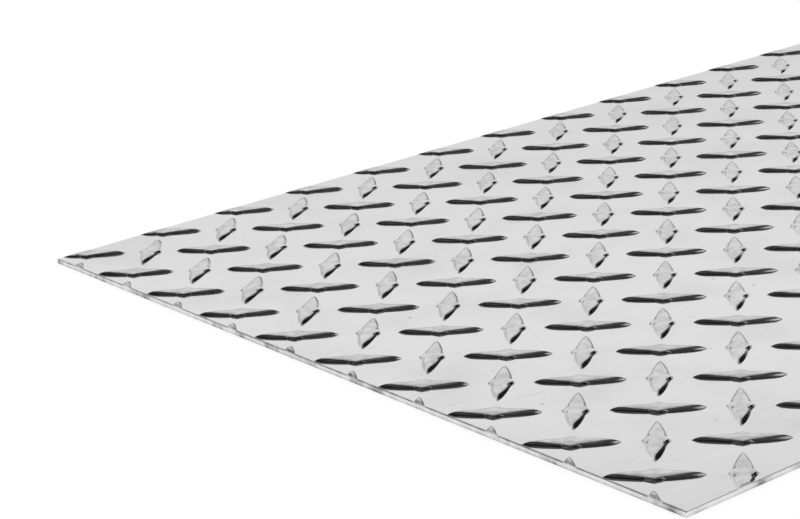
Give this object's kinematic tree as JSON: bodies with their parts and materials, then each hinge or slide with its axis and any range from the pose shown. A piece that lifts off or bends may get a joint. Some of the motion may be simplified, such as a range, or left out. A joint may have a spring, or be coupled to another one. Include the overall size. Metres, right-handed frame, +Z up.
{
  "type": "aluminium tread plate",
  "caption": "Flat rectangular sheet of bright aluminium tread plate with raised pointed lugs in two crossed directions on its upper face.",
  "frame": {"origin": "centre of the underside, on the surface that the plate lies on", "axes": "+X along the long side, +Y along the short side, +Z up out of the lugged face"},
  "size_m": [0.6096, 0.3048, 0.0025],
  "materials": {
    "bright_aluminium": "bright rolled mill finish"
  },
  "bodies": {
    "root": {"tread_plate": "bright_aluminium"}
  },
  "joints": []
}
